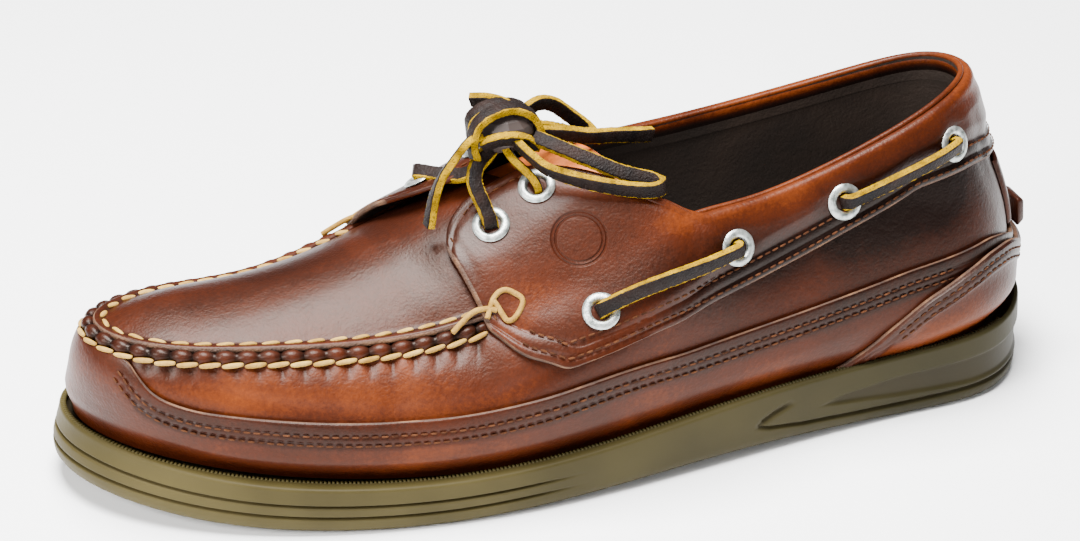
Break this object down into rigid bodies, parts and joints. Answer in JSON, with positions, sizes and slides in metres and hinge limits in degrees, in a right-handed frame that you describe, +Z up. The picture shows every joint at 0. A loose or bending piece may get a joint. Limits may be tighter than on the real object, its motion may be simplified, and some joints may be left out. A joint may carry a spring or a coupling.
{
  "type": "boat shoe",
  "caption": "Left boat shoe: hollow moccasin upper with plug, quarter band with eyelets and side lacing, mudguard, heel counter, tied leather lace, one-piece rubber sole.",
  "frame": {"origin": "on the floor, under the middle of the shoe's box in plan", "axes": "+X towards the heel, so the toe points along -X; +Y towards the inner side of the foot; +Z up"},
  "size_m": [0.2997, 0.104, 0.1013],
  "materials": {
    "leather": "oiled pull-up leather, dark red-brown with orange where it is stretched, satin",
    "tongue": "orange-brown leather, satin",
    "lining": "matt dark lining",
    "sole": "matt olive-tan rubber",
    "eyelet": "aged silver-white metal",
    "lace": "near-black leather with raw yellow edges"
  },
  "bodies": {
    "root": {"sole": "sole", "insole": "lining", "upper": "leather", "mudguard": "leather", "quarter_band": "leather", "heel_counter": "leather", "backstay": "leather", "heel_tab": "leather", "tongue": "tongue", "eyelet_outer_throat_front": "eyelet", "eyelet_outer_throat_rear": "eyelet", "eyelet_outer_side_1": "eyelet", "eyelet_outer_side_2": "eyelet", "eyelet_outer_side_3": "eyelet", "eyelet_outer_side_4": "eyelet", "eyelet_inner_throat_front": "eyelet", "eyelet_inner_throat_rear": "eyelet", "eyelet_inner_side_1": "eyelet", "eyelet_inner_side_2": "eyelet", "eyelet_inner_side_3": "eyelet", "eyelet_inner_side_4": "eyelet", "lace_bar_outer_1": "lace", "lace_bar_outer_2": "lace", "lace_bar_inner_1": "lace", "lace_bar_inner_2": "lace", "lace_crossing": "lace", "lace_knot": "lace", "lace_loop_outer": "lace", "lace_loop_inner": "lace", "lace_end_front": "lace", "lace_end_rear": "lace"}
  },
  "joints": []
}
